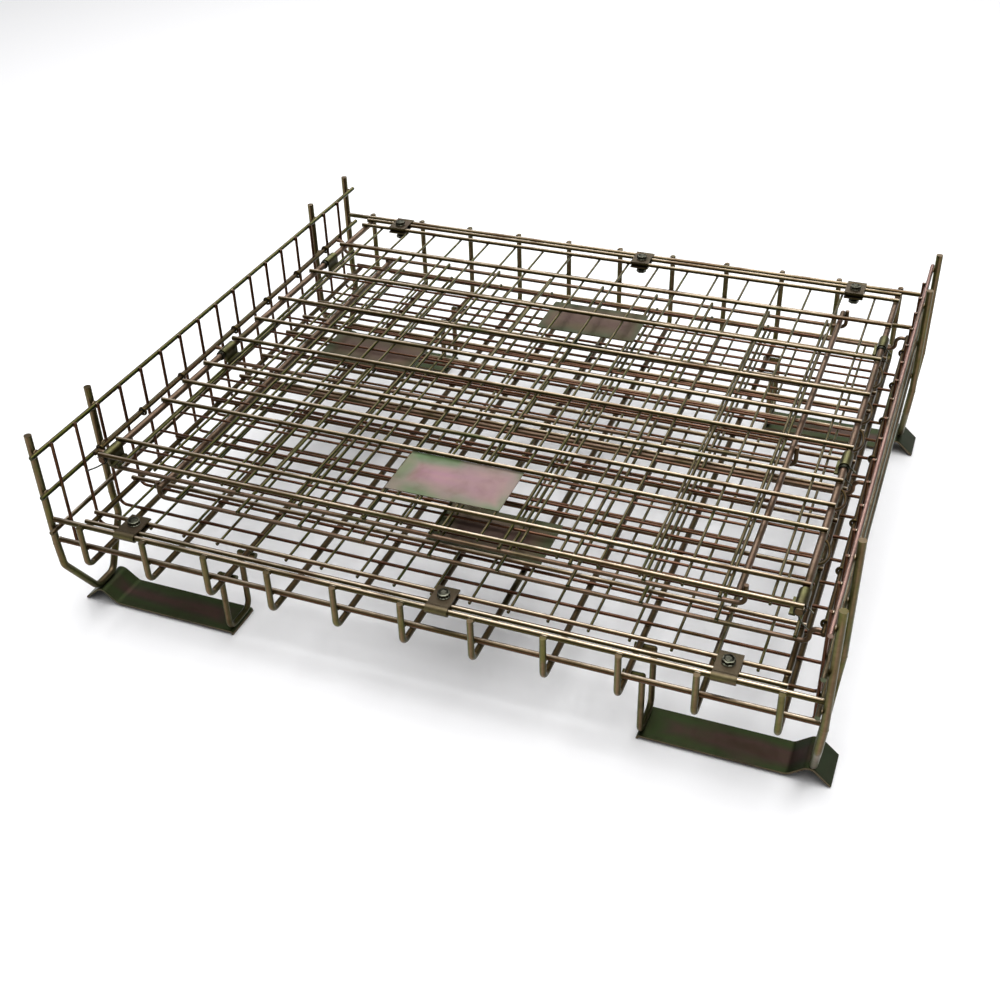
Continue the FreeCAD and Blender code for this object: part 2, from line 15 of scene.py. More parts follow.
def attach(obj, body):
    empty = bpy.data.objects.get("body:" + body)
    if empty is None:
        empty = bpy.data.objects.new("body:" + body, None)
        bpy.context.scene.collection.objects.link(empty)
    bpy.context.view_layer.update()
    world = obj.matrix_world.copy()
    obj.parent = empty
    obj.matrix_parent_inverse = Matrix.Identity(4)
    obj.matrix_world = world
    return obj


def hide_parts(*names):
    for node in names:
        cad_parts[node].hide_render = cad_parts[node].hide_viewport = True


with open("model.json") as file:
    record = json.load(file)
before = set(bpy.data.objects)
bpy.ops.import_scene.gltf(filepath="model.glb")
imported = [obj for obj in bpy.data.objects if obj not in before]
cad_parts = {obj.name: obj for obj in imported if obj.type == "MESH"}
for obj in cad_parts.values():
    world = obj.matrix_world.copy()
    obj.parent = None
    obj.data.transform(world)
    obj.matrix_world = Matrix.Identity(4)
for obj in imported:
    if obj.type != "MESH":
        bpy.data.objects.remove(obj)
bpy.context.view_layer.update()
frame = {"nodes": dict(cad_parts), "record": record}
nodes = frame["nodes"]
random.seed(7)

# Camera: place, turn about Z, turn up from level, turn about its own axis (degrees), lens (mm).
CAMERA_PLACE = (0.6319, -1.6856, 1.3162)
CAMERA_HEADING = 22.137
CAMERA_TILT = -35.588
CAMERA_ROLL = -1.688
CAMERA_LENS = 47.762

MM = 0.001
SHARP_ANGLE = math.radians(50)    # edges sharper than this stay sharp and get a small bevel
BEVEL_WIDTH = 0.4 * MM
TOUCH = 0.4 * MM                  # rods nearer than this to each other are welded
POST_LENGTH = 180 * MM            # the upright part of a post, down from its top


# ---------------------------------------------------------------- materials

def new_material(name):
    material = bpy.data.materials.new(name)
    material.use_nodes = True
    material.node_tree.nodes.clear()
    return material, material.node_tree.nodes, material.node_tree.links


def ramp(tree, stops):
    """A colour ramp from (position, (r, g, b)) stops."""
    node = tree.new("ShaderNodeValToRGB")
    elements = node.color_ramp.elements
    while len(elements) < len(stops):
        elements.new(0.5)
    for element, (position, colour) in zip(elements, stops):
        element.position = position
        element.color = (*colour, 1.0)
    return node


def noise(tree, links, place, scale, detail=3.0, distortion=0.0):
    node = tree.new("ShaderNodeTexNoise")
    node.inputs["Scale"].default_value = scale
    node.inputs["Detail"].default_value = detail
    node.inputs["Distortion"].default_value = distortion
    links.new(place.outputs["Object"], node.inputs["Vector"])
    return node


def mix(tree, links, factor, first, second, blend="MIX"):
    """Two colours mixed by a factor, which is a number or a socket."""
    node = tree.new("ShaderNodeMix")
    node.data_type = "RGBA"
    node.blend_type = blend
    if isinstance(factor, float):
        node.inputs["Factor"].default_value = factor
    else:
        links.new(factor, node.inputs["Factor"])
    links.new(first, node.inputs["A"])
    links.new(second, node.inputs["B"])
    return node.outputs["Result"]


def math_node(tree, links, operation, *values):
    node = tree.new("ShaderNodeMath")
    node.operation = operation
    for socket, value in zip(node.inputs, values):
        links.new(value, socket)
    return node.outputs["Value"]


def remap(tree, links, value, low, high, to_low, to_high):
    node = tree.new("ShaderNodeMapRange")
    node.inputs["From Min"].default_value = low
    node.inputs["From Max"].default_value = high
    node.inputs["To Min"].default_value = to_low
    node.inputs["To Max"].default_value = to_high
    links.new(value, node.inputs["Value"])
    return node.outputs["Result"]


def from_edge(tree, links, value, stretch):
    """0 at both edges of a plate and stretch in its middle, for a coordinate from 0 to 1."""
    node = tree.new("ShaderNodeMath")
    node.operation = "PINGPONG"
    node.inputs[1].default_value = 0.5
    links.new(value, node.inputs[0])
    return remap(tree, links, node.outputs["Value"], 0.0, 0.5, 0.0, stretch)


PLATE_ASPECT = 2.2         # how much longer than wide a plate's film counts its length
PATCH_REACH = (0.48, 0.66)  # the noise values between which a patch fades in
PATCH_STRENGTH = 0.7
UPRIGHT = (0.45, 0.85)      # the upward part of the normal between which a flank fades out
FLAT = (0.3, 0.7)           # and between which a plate's rim fades in
RIPPLE = 0.5                # how far the noise moves a plate's rim
ROD_GRAIN, PLATE_GRAIN, FINE_GRAIN = 160.0, 30.0, 900.0    # noise scales, per metre
METALLIC = 0.92
DENT_STRENGTH, DENT_DEPTH = 0.03, 0.2 * MM
STAIN = [(0.30, (0.86, 0.83, 0.78)), (0.50, (1.0, 1.0, 1.0)), (0.72, (1.07, 1.06, 1.03))]


def chromate(name, tint_and_painted_light, patches, roughness=0.34, scale=9.0, rim=None, flank_tint_and_shade=None,
             grain=ROD_GRAIN):
    """Yellow-chromate zinc on drawn steel.

    The first ramp tints a rod from its underside to its top, over the passivation film's own
    tint:
    its lighter top is a painted highlight and its darker underside painted shade. The film drifts
    to other tints in long patches, and is stained and slightly uneven at a finer scale.
    A flat plate has one more ramp (rim), from its nearest edge to its middle. A rod whose two
    sides differ has one across its upright faces, from the left side to the right side, partly
    its tint and partly painted shade on the darker side.
    """
    material, tree, links = new_material(name)
    place = tree.new("ShaderNodeTexCoord")
    split = tree.new("ShaderNodeSeparateXYZ")
    links.new(place.outputs["Normal"], split.inputs["Vector"])
    # From the underside to the top: the tint, with a painted highlight on top and painted shade
    # underneath.
    lit_film = ramp(tree, tint_and_painted_light)
    links.new(remap(tree, links, split.outputs["Z"], -1.0, 1.0, 0.0, 1.0), lit_film.inputs["Fac"])
    tint = lit_film.outputs["Color"]

    drift = noise(tree, links, place, scale, 3.0, 0.6)
    # Across the upright faces, from left to right: partly tint, partly painted shade on the
    # darker sides.
    if flank_tint_and_shade:
        sides = ramp(tree, flank_tint_and_shade)
        turned = remap(tree, links, split.outputs["X"], -1.0, 1.0, 0.0, 1.0)
        links.new(turned, sides.inputs["Fac"])
        slope = math_node(tree, links, "ABSOLUTE", split.outputs["Z"])
        upright = remap(tree, links, slope, *UPRIGHT, 1.0, 0.0)
        tint = mix(tree, links, upright, tint, sides.outputs["Color"])
    if rim:
        spread = tree.new("ShaderNodeSeparateXYZ")
        links.new(place.outputs["Generated"], spread.inputs["Vector"])
        along = from_edge(tree, links, spread.outputs["X"], PLATE_ASPECT)
        across = from_edge(tree, links, spread.outputs["Y"], 1.0)
        edge = math_node(tree, links, "MINIMUM", along, across)
        ripple = remap(tree, links, drift.outputs["Fac"], 0.0, 1.0, -RIPPLE, RIPPLE)
        band = ramp(tree, rim)
        links.new(math_node(tree, links, "ADD", edge, ripple), band.inputs["Fac"])
        level = remap(tree, links, split.outputs["Z"], *FLAT, 0.0, 1.0)
        tint = mix(tree, links, level, tint, band.outputs["Color"])
    patch = ramp(tree, patches)
    links.new(drift.outputs["Fac"], patch.inputs["Fac"])
    where = noise(tree, links, place, scale * 1.7, 2.0, 0.4)
    weight = remap(tree, links, where.outputs["Fac"], *PATCH_REACH, 0.0, PATCH_STRENGTH)
    tint = mix(tree, links, weight, tint, patch.outputs["Color"])

    stain = noise(tree, links, place, grain, 4.0, 0.3)
    shade = ramp(tree, STAIN)
    links.new(stain.outputs["Fac"], shade.inputs["Fac"])
    tint = mix(tree, links, 1.0, tint, shade.outputs["Color"], "MULTIPLY")

    fine = noise(tree, links, place, FINE_GRAIN, 3.0)
    rough = remap(tree, links, stain.outputs["Fac"], 0.3, 0.7, roughness + 0.05, roughness - 0.02)
    dent = tree.new("ShaderNodeBump")
    dent.inputs["Strength"].default_value = DENT_STRENGTH
    dent.inputs["Distance"].default_value = DENT_DEPTH
    links.new(fine.outputs["Fac"], dent.inputs["Height"])

    shader = tree.new("ShaderNodeBsdfPrincipled")
    shader.inputs["Metallic"].default_value = METALLIC
    links.new(tint, shader.inputs["Base Color"])
    links.new(rough, shader.inputs["Roughness"])
    links.new(dent.outputs["Normal"], shader.inputs["Normal"])
    output = tree.new("ShaderNodeOutputMaterial")
    links.new(shader.outputs["BSDF"], output.inputs["Surface"])
    return material


# Tints of the film, as linear colours. Straw and cream are painted highlights for the tops of
# rods; brown is a tint and also the painted shade of their undersides.
OLIVE = (0.050, 0.040, 0.012)
DARK_OLIVE = (0.028, 0.028, 0.008)
HIGHLIGHT_STRAW = (0.160, 0.118, 0.070)
GREEN = (0.036, 0.055, 0.013)
LIME = (0.095, 0.098, 0.020)
PINK = (0.150, 0.078, 0.050)
HIGHLIGHT_CREAM = (0.70, 0.60, 0.48)
RUST = (0.060, 0.024, 0.010)
# Brown: a tint in some patches, and the painted shade at the underside of every finish.
BROWN_AND_UNDERSIDE_SHADE = (0.034, 0.020, 0.008)
BRONZE = (0.074, 0.047, 0.019)

# Across an upright rod, from its left side to its right side: a lighter middle between darker
# sides, which is painted shade.
SIDES = [(0.0, (0.070, 0.080, 0.022)), (0.35, (0.110, 0.098, 0.036)),
         (0.58, (0.150, 0.096, 0.052)), (0.80, (0.085, 0.060, 0.028)),
         (1.0, (0.060, 0.058, 0.022))]

# The first list of each finish runs from a rod's underside to its top: where it grows lighter
# towards the top that is a painted highlight, and its dark underside end is painted shade.
olive_rod = chromate(
    "olive_rod", [(0.0, BROWN_AND_UNDERSIDE_SHADE), (0.45, OLIVE), (0.78, OLIVE), (0.95, HIGHLIGHT_STRAW), (1.0, HIGHLIGHT_CREAM)],
    [(0.30, GREEN), (0.45, OLIVE), (0.58, RUST), (0.70, BRONZE)])
green_rod = chromate(
    "green_rod", [(0.0, BROWN_AND_UNDERSIDE_SHADE), (0.45, DARK_OLIVE), (0.75, GREEN), (0.93, LIME), (1.0, HIGHLIGHT_STRAW)],
    [(0.30, GREEN), (0.45, LIME), (0.58, OLIVE), (0.70, BRONZE)], scale=12.0)
# The pink at the top of this wire is a painted highlight.
rust_wire = chromate(
    "rust_wire", [(0.0, BROWN_AND_UNDERSIDE_SHADE), (0.45, RUST), (0.80, RUST), (1.0, PINK)],
    [(0.30, BROWN_AND_UNDERSIDE_SHADE), (0.45, RUST), (0.58, BRONZE), (0.70, OLIVE)], roughness=0.32, scale=14.0)
copper_rod = chromate(
    "copper_rod", [(0.0, BROWN_AND_UNDERSIDE_SHADE), (0.40, RUST), (0.75, BRONZE), (0.96, HIGHLIGHT_STRAW), (1.0, HIGHLIGHT_CREAM)],
    [(0.30, OLIVE), (0.45, BRONZE), (0.58, RUST), (0.70, PINK)])
floor_bar = chromate(
    "floor_bar", [(0.0, BROWN_AND_UNDERSIDE_SHADE), (0.45, OLIVE), (0.85, (0.075, 0.055, 0.030)), (1.0, BRONZE)],
    [(0.30, GREEN), (0.45, OLIVE), (0.58, BROWN_AND_UNDERSIDE_SHADE), (0.70, RUST)], roughness=0.40)
loop_finish = chromate(
    "loop_finish", [(0.0, BROWN_AND_UNDERSIDE_SHADE), (0.40, (0.085, 0.066, 0.026)), (0.62, (0.115, 0.090, 0.036)),
                    (0.78, DARK_OLIVE), (1.0, DARK_OLIVE)],
    [(0.32, GREEN), (0.48, OLIVE), (0.60, BRONZE), (0.72, RUST)], roughness=0.40, scale=12.0,
    flank_tint_and_shade=SIDES)
dull_rod = chromate(
    "dull_rod", [(0.0, BROWN_AND_UNDERSIDE_SHADE), (0.45, BROWN_AND_UNDERSIDE_SHADE), (0.80, OLIVE), (1.0, BRONZE)],
    [(0.30, GREEN), (0.45, OLIVE), (0.58, RUST), (0.70, BRONZE)], roughness=0.38)
satin_rod = chromate(
    "satin_rod", [(0.0, BROWN_AND_UNDERSIDE_SHADE), (0.45, BRONZE), (0.80, (0.145, 0.098, 0.064)),
                  (1.0, (0.20, 0.135, 0.095))],
    [(0.30, GREEN), (0.45, OLIVE), (0.58, PINK), (0.70, BRONZE)], roughness=0.42)
# Across its upright faces this rail turns from pink to a darker green: partly tint, and painted
# shade on the darker side.
pink_rod = chromate(
    "pink_rod", [(0.0, BROWN_AND_UNDERSIDE_SHADE), (0.50, (0.12, 0.085, 0.06)), (0.80, (0.27, 0.165, 0.14)),
                 (1.0, (0.34, 0.21, 0.18))],
    [(0.30, PINK), (0.45, (0.13, 0.13, 0.085)), (0.60, (0.09, 0.12, 0.07)), (0.70, GREEN)],
    roughness=0.40, scale=5.0,
    flank_tint_and_shade=[(0.0, (0.26, 0.13, 0.11)), (0.45, (0.24, 0.15, 0.12)), (0.70, (0.12, 0.14, 0.09)),
           (1.0, (0.06, 0.085, 0.045))])
grey_green_rod = chromate(
    "grey_green_rod", [(0.0, BROWN_AND_UNDERSIDE_SHADE), (0.45, (0.07, 0.08, 0.045)), (0.80, (0.12, 0.14, 0.09)),
                       (1.0, HIGHLIGHT_STRAW)],
    [(0.30, GREEN), (0.50, OLIVE), (0.70, BRONZE)], roughness=0.36, scale=6.0)
post_finish = chromate(
    "post_finish", [(0.0, BROWN_AND_UNDERSIDE_SHADE), (0.40, (0.10, 0.078, 0.030)), (0.62, (0.145, 0.112, 0.044)),
                    (0.92, HIGHLIGHT_STRAW), (1.0, HIGHLIGHT_STRAW)],
    [(0.32, GREEN), (0.48, LIME), (0.60, BRONZE), (0.72, RUST)], roughness=0.36, scale=12.0,
    flank_tint_and_shade=SIDES)
foot_finish = chromate(
    "foot_finish", [(0.0, BROWN_AND_UNDERSIDE_SHADE), (0.35, DARK_OLIVE), (0.55, (0.13, 0.10, 0.06)),
                    (1.0, DARK_OLIVE)],
    [(0.34, (0.040, 0.055, 0.020)), (0.50, (0.044, 0.044, 0.022)), (0.68, (0.062, 0.042, 0.032))],
    roughness=0.44, scale=8.0,
    rim=[(0.05, (0.040, 0.050, 0.020)), (0.30, (0.038, 0.056, 0.020)),
         (0.55, (0.050, 0.046, 0.026)), (0.80, (0.072, 0.042, 0.034)),
         (1.0, (0.068, 0.044, 0.032))], grain=PLATE_GRAIN)
clip_finish = chromate(
    "clip_finish", [(0.0, BROWN_AND_UNDERSIDE_SHADE), (0.45, OLIVE), (0.75, (0.16, 0.14, 0.06)),
                    (1.0, (0.085, 0.066, 0.042))],
    [(0.35, (0.06, 0.06, 0.03)), (0.55, (0.10, 0.066, 0.045)), (0.70, (0.07, 0.055, 0.035))],
    roughness=0.42, scale=20.0)
hook_finish = chromate(
    "hook_finish", [(0.0, BROWN_AND_UNDERSIDE_SHADE), (0.45, DARK_OLIVE), (0.75, OLIVE), (1.0, (0.15, 0.145, 0.06))],
    [(0.35, GREEN), (0.55, OLIVE), (0.70, (0.12, 0.10, 0.06))], roughness=0.36, scale=20.0)
back_plate = chromate(
    "back_plate", [(0.0, BROWN_AND_UNDERSIDE_SHADE), (0.5, OLIVE), (1.0, BRONZE)],
    [(0.34, (0.19, 0.15, 0.12)), (0.50, (0.24, 0.155, 0.165)), (0.68, (0.24, 0.18, 0.14))],
    roughness=0.44, scale=7.0,
    rim=[(0.06, (0.10, 0.15, 0.075)), (0.26, (0.15, 0.165, 0.115)), (0.45, (0.235, 0.165, 0.150)),
         (0.75, (0.27, 0.155, 0.185)), (1.0, (0.28, 0.175, 0.170))], grain=PLATE_GRAIN)
low_plate = chromate(
    "low_plate", [(0.0, BROWN_AND_UNDERSIDE_SHADE), (0.5, OLIVE), (1.0, BRONZE)],
    [(0.34, OLIVE), (0.50, BRONZE), (0.68, (0.10, 0.06, 0.05))], roughness=0.42, scale=8.0,
    rim=[(0.10, (0.050, 0.055, 0.026)), (0.45, (0.075, 0.056, 0.034)),
         (0.85, (0.085, 0.052, 0.040))], grain=PLATE_GRAIN)
bolt_finish = chromate(
    "bolt_finish", [(0.0, BROWN_AND_UNDERSIDE_SHADE), (0.5, (0.05, 0.05, 0.035)), (0.85, (0.06, 0.06, 0.042)),
                    (1.0, (0.13, 0.13, 0.10))],
    [(0.35, (0.04, 0.055, 0.03)), (0.65, (0.09, 0.09, 0.065))], roughness=0.30, scale=60.0)

# The first entry whose text is in a node's name gives the node's finish.
FINISHES = (
    ("floor_wires", rust_wire), ("left_wall_wires", rust_wire), ("right_wall_wires", rust_wire),
    ("floor_bars", floor_bar), ("uprights", post_finish), ("post_loop", post_finish),
    ("foot_plate", foot_finish), ("foot_loop", loop_finish),
    ("front_lower_rail", copper_rod), ("front_top_rail", olive_rod), ("right_top_rail", pink_rod),
    ("right_middle_rail", grey_green_rod), ("right_lower_rail", grey_green_rod),
    ("left_top_rail", green_rod), ("left_middle_rail", green_rod), ("hinge_eyes", dull_rod),
    ("back_wall_edge_rods", satin_rod), ("front_wall_edge_rods", dull_rod),
    ("end_hinge_rod", dull_rod), ("side_rods", satin_rod), ("rim", satin_rod),
    ("back_wall_mesh_wires", green_rod), ("front_wall_mesh_wires", green_rod),
    ("end_mesh_wires", rust_wire), ("end_cross_rods", green_rod),
    ("front_wall_cross_rods", copper_rod),
    ("hinge_clips", clip_finish), ("latch_hooks", hook_finish), ("clip_nuts", bolt_finish),
    ("clip_bolts", bolt_finish), ("back_wall_sign_plate", back_plate), ("sign_plate", low_plate),
)


def finish_of(name):
    return next((finish for part, finish in FINISHES if part in name), olive_rod)


record = frame["record"]
slot_of = {part["node"]: part["material_slot"] for part in record["subparts"]}
body_of = {name: body for body, names in record["behaviour"]["bodies"].items() for name in names}


# ---------------------------------------------------------------- carried-over parts

def smooth_group():
    """Smooth shading, except over edges sharper than SHARP_ANGLE."""
    group = bpy.data.node_groups.new("smooth_by_angle", "GeometryNodeTree")
    group.interface.new_socket("Geometry", in_out="INPUT", socket_type="NodeSocketGeometry")
    group.interface.new_socket("Geometry", in_out="OUTPUT", socket_type="NodeSocketGeometry")
    tree, links = group.nodes, group.links
    start = tree.new("NodeGroupInput")
    end = tree.new("NodeGroupOutput")
    faces = tree.new("GeometryNodeSetShadeSmooth")
    faces.domain = "FACE"
    edges = tree.new("GeometryNodeSetShadeSmooth")
    edges.domain = "EDGE"
    edges.inputs["Shade Smooth"].default_value = False
    angle = tree.new("GeometryNodeInputMeshEdgeAngle")
    sharp = tree.new("FunctionNodeCompare")
    sharp.operation = "GREATER_THAN"
    sharp.inputs["B"].default_value = SHARP_ANGLE
    links.new(start.outputs["Geometry"], faces.inputs["Geometry"])
    links.new(faces.outputs["Geometry"], edges.inputs["Geometry"])
    links.new(angle.outputs["Unsigned Angle"], sharp.inputs["A"])
    links.new(sharp.outputs["Result"], edges.inputs["Selection"])
    links.new(edges.outputs["Geometry"], end.inputs["Geometry"])
    return group


SMOOTH = smooth_group()


def smooth(obj):
    obj.modifiers.new("smooth", "NODES").node_group = SMOOTH


SHEET_SLOTS = ("foot_steel", "clip_sheet", "sign_plate")
ROUND_WIRE = ("loop", "eyes")

for name, obj in nodes.items():
    obj.data.materials.clear()
    obj.data.materials.append(finish_of(name))
    if slot_of[name] in SHEET_SLOTS and not any(part in name for part in ROUND_WIRE):
        edge = obj.modifiers.new("edge", "BEVEL")
        edge.width = BEVEL_WIDTH
        edge.segments = 2
        edge.limit_method = "ANGLE"
        edge.angle_limit = SHARP_ANGLE
    smooth(obj)


# ---------------------------------------------------------------- where the rods are

def islands(name):
    """The vertices of each separate piece of a node."""
    mesh = nodes[name].data
    parent = list(range(len(mesh.vertices)))

    def root(index):
        while parent[index] != index:
            parent[index] = parent[parent[index]]
            index = parent[index]
        return index

    for edge in mesh.edges:
        first, second = (root(v) for v in edge.vertices)
        parent[first] = second
    pieces = {}
    for vertex in mesh.vertices:
        pieces.setdefault(root(vertex.index), []).append(vertex.co.copy())
    return list(pieces.values())


def slope_of_back_wall():
    """The turn that lays the back wall level, about its hinge line, and its inverse."""
    rows = [sum(points, Vector()) / len(points) for points in islands("back_wall_cross_rods")]
    rows.sort(key=lambda middle: middle.y)
    angle = math.atan2(rows[0].z - rows[-1].z, rows[-1].y - rows[0].y)
    hinge = next(j for j in record["behaviour"]["joints"] if j["name"] == "back_wall_hinge")
    centre = Matrix.Translation(hinge["pos_m"])
    level = centre @ Matrix.Rotation(angle, 4, "X") @ centre.inverted()
    return level, level.inverted()


LEVEL, TILT = slope_of_back_wall()


def boxes(name):
    """Lowest and highest corner of each piece of a node, with the back wall laid level."""
    turn = LEVEL if body_of[name] == "back_wall" else Matrix()
    result = []
    for points in islands(name):
        points = [turn @ point for point in points]
        low = Vector(min(p[axis] for p in points) for axis in range(3))
        high = Vector(max(p[axis] for p in points) for axis in range(3))
        result.append((low, high))
    return result


def posts(name):
    """Lowest and highest corner of the two upright rods of a post loop, above its yoke."""
    points = [vertex.co for vertex in nodes[name].data.vertices]
    top = max(point.z for point in points)
    caps = [point for point in points if point.z > top - MM]
    middle = sum(point.y for point in caps) / len(caps)
    result = []
    for side in (-1, 1):
        cap = [point for point in caps if (point.y - middle) * side > 0]
        result.append((Vector((min(p.x for p in cap), min(p.y for p in cap), top - POST_LENGTH)),
                       Vector((max(p.x for p in cap), max(p.y for p in cap), top))))
    return result


# ---------------------------------------------------------------- pieces

def add_piece(name, mesh, finish, body, slot, *replaced):
    """Put a mesh in the scene on a body. On the back wall, it is drawn level and tilted here."""
    obj = bpy.data.objects.new(name, mesh)
    bpy.context.scene.collection.objects.link(obj)
    mesh.materials.append(finish)
    if body == "back_wall":
        mesh.transform(TILT)
    smooth(obj)
    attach(obj, body)
    if replaced:
        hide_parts(*replaced)


def mesh_from(build):
    """A mesh built by a function that fills a bmesh."""
    work = bmesh.new()
    build(work)
    bmesh.ops.recalc_face_normals(work, faces=work.faces)
    mesh = bpy.data.meshes.new("piece")
    work.to_mesh(mesh)
    work.free()
    return mesh


NUGGET_LUMPS = 0.10
NUGGET_SIDES = (2 * MM, 11 * MM)    # the narrowest and widest touching place that is filled
NUGGET_HALF, POST_NUGGET_HALF = 0.9 * MM, 2.4 * MM    # half thickness, between rods and at posts
AT_SIDE, AT_WIRE, AT_RAIL = 0.55, 0.52, 0.6    # half width of a nugget over its touching place


def add_nugget(work, place, size):
    """A blob of weld metal: a lumpy ball squeezed to the given half sizes."""
    made = bmesh.ops.create_icosphere(work, subdivisions=2, radius=1.0)["verts"]
    twist = Matrix.Rotation(random.uniform(0, math.tau), 3, "Z")
    for vertex in made:
        lump = 1 + random.uniform(-NUGGET_LUMPS, NUGGET_LUMPS)
        rounded = twist @ vertex.co
        vertex.co = place + Vector(rounded[axis] * size[axis] * lump for axis in range(3))


def crossings(first, second):
    """Where pieces of two nodes touch: the middle of the touching place and its free widths."""
    found = []
    second_boxes = boxes(second)
    for low_a, high_a in posts(first) if "post_loop" in first else boxes(first):
        for low_b, high_b in second_boxes:
            low = Vector(max(low_a[i], low_b[i]) for i in range(3))
            high = Vector(min(high_a[i], high_b[i]) for i in range(3))
            if all(high[i] - low[i] > -TOUCH for i in range(3)):
                found.append(((low + high) / 2, high - low))
    return found


def make_welds(body, pairs):
    """One piece with all the weld nuggets of a body, from (node, node, half width) triples."""
    narrow, wide = NUGGET_SIDES

    def build(work):
        for first, second, reach in pairs:
            for place, overlap in crossings(first, second):
                thin = min(range(3), key=lambda axis: overlap[axis])
                size = [min(max(overlap[axis], narrow), wide) * reach for axis in range(3)]
                size[thin] = POST_NUGGET_HALF if "post_loop" in first else NUGGET_HALF
                add_nugget(work, place, size)
    add_piece(f"{body}_welds", mesh_from(build), olive_rod, body, "frame_rod")


LONG = [("hinge_rod", "edge_rods", AT_SIDE), ("cross_rods", "edge_rods", AT_SIDE),
        ("cross_rods", "mesh_wires", AT_WIRE)]
END = [("cross_rods", "side_rods", AT_SIDE), ("cross_rods", "mesh_wires", AT_WIRE)]
for wall in ("back_wall", "front_wall"):
    make_welds(wall, [(f"{wall}_{a}", f"{wall}_{b}", reach) for a, b, reach in LONG])
for wall, prefix in (("left_end_wall", "left_end"), ("right_end_wall", "right_end")):
    make_welds(wall, [(f"{prefix}_{a}", f"{prefix}_{b}", reach) for a, b, reach in END])
BASE = [("floor_bars", "floor_wires", AT_WIRE)]
RAILS = {}
for end in ("front", "back"):
    RAILS[end] = [f"{end}_{level}_rail" for level in ("top", "lower")]
    BASE += [(f"{end}_uprights", rail, AT_RAIL) for rail in RAILS[end]]
for side in ("left", "right"):
    RAILS[side] = [f"{side}_{level}_rail" for level in ("top", "middle", "lower")]
    BASE += [(f"{side}_wall_wires", rail, AT_RAIL) for rail in RAILS[side]]
for end in ("front", "back"):
    for side in ("left", "right"):
        BASE += [(f"{end}_{side}_post_loop", rail, AT_RAIL) for rail in RAILS[end] + RAILS[side]]
make_welds("base", BASE)


def ring(work, middle, radius, height, sides, turn=0.0):
    """A level ring of vertices round a vertical axis."""
    angles = [turn + math.tau * i / sides for i in range(sides)]
    return [work.verts.new(middle + Vector((radius * math.cos(a), radius * math.sin(a), height)))
            for a in angles]


def skin(work, rings):
    """Faces between rings that follow each other, and over the first and the last ring."""
    for lower, upper in zip(rings, rings[1:]):
        for i in range(len(lower)):
            j = (i + 1) % len(lower)
            work.faces.new((lower[i], lower[j], upper[j], upper[i]))
    work.faces.new(rings[0])
    work.faces.new(rings[-1])


BOLT_SIDES = 24
HEAD_HEIGHT = 7 * MM              # from the flange's underside to the top of the crown
SHANK_RADIUS = 4 * MM
TIP_INSET, TIP_HEIGHT = 0.6 * MM, 0.4 * MM
THREAD_PITCH, THREAD_DEPTH = 0.8 * MM, 0.35 * MM
PLAIN_SHANK = 3 * MM              # the length without a thread, below the flange
FLANGE_EDGE = 0.9 * MM            # height of the flange at its edge
FLANGE_NECK = (7.4 * MM, 1.9 * MM)    # radius and height where the flange meets the hexagon
HEXAGON_RADIUS = 7.7 * MM / math.cos(math.pi / 6)
HEXAGON_RINGS = ((1, 1.2 * MM), (1, 5.9 * MM), (0.84, 6.5 * MM))    # part of the radius, height
CROWN_RADIUS, CROWN_RISE, CROWN_BASE = 5.6 * MM, 0.7 * MM, 6.3 * MM
CROWN_ANGLES = (0, 0.35, 0.7, 1.05, 1.4)


def add_bolt(work, low, high):
    """A hexagon flange bolt with a slightly crowned head, in the space from low to high."""
    middle = Vector(((low.x + high.x) / 2, (low.y + high.y) / 2, 0))
    flange_radius = (high.x - low.x) / 2
    under = high.z - HEAD_HEIGHT

    def turned(radius, height):
        return ring(work, middle, radius, height, BOLT_SIDES)

    rings = [turned(SHANK_RADIUS - TIP_INSET, low.z)]
    height = low.z + TIP_HEIGHT
    while height < under - PLAIN_SHANK:
        rings.append(turned(SHANK_RADIUS, height))
        rings.append(turned(SHANK_RADIUS - THREAD_DEPTH, height + THREAD_DEPTH))
        height += THREAD_PITCH
    neck_radius, neck_height = FLANGE_NECK
    rings += [turned(SHANK_RADIUS, under), turned(flange_radius, under),
              turned(flange_radius, under + FLANGE_EDGE),
              turned(neck_radius, under + neck_height)]
    skin(work, rings)
    turn = random.uniform(0, math.tau)
    skin(work, [ring(work, middle, HEXAGON_RADIUS * part, under + height, 6, turn)
                for part, height in HEXAGON_RINGS])
    crown = under + CROWN_BASE
    skin(work, [turned(CROWN_RADIUS * math.cos(a), crown + CROWN_RISE * math.sin(a))
                for a in CROWN_ANGLES])


for wall in ("back_wall", "front_wall"):
    def build(work, wall=wall):
        for low, high in boxes(f"{wall}_clip_bolts"):
            add_bolt(work, low, high)
    add_piece(f"{wall}_flange_bolts", mesh_from(build), bolt_finish, wall, "fastener",
              f"{wall}_clip_bolts")


def tube(work, points, radius, sides=10):
    """A round wire through the points, with closed ends."""
    rings = []
    across = None
    for index, point in enumerate(points):
        before = points[max(index - 1, 0)]
        after = points[min(index + 1, len(points) - 1)]
        along = (after - before).normalized()
        if across is None:
            across = along.orthogonal().normalized()
        across = (across - along * across.dot(along)).normalized()
        other = along.cross(across)
        rings.append([work.verts.new(point + radius * (across * math.cos(math.tau * i / sides)
                                                       + other * math.sin(math.tau * i / sides)))
                      for i in range(sides)])
    skin(work, rings)


# Where each bow leaves and joins the rod, in millimetres in front of the hinge line.
EDGE_BOWS = ((260, 330), (375, 440), (457, 518), (622, 672), (745, 800))
BOW_WIRE = 2.2 * MM     # radius
BOW_REACH = 11 * MM     # out from the rod
BOW_SAG = 3 * MM
BOW_INSET = 1.5 * MM    # how deep its ends sit in the rod
BOW_ROUNDNESS = 0.55    # 1 is a plain sine; less has steeper ends
BOW_STEPS = 18
RAIL_RADIUS = 4 * MM


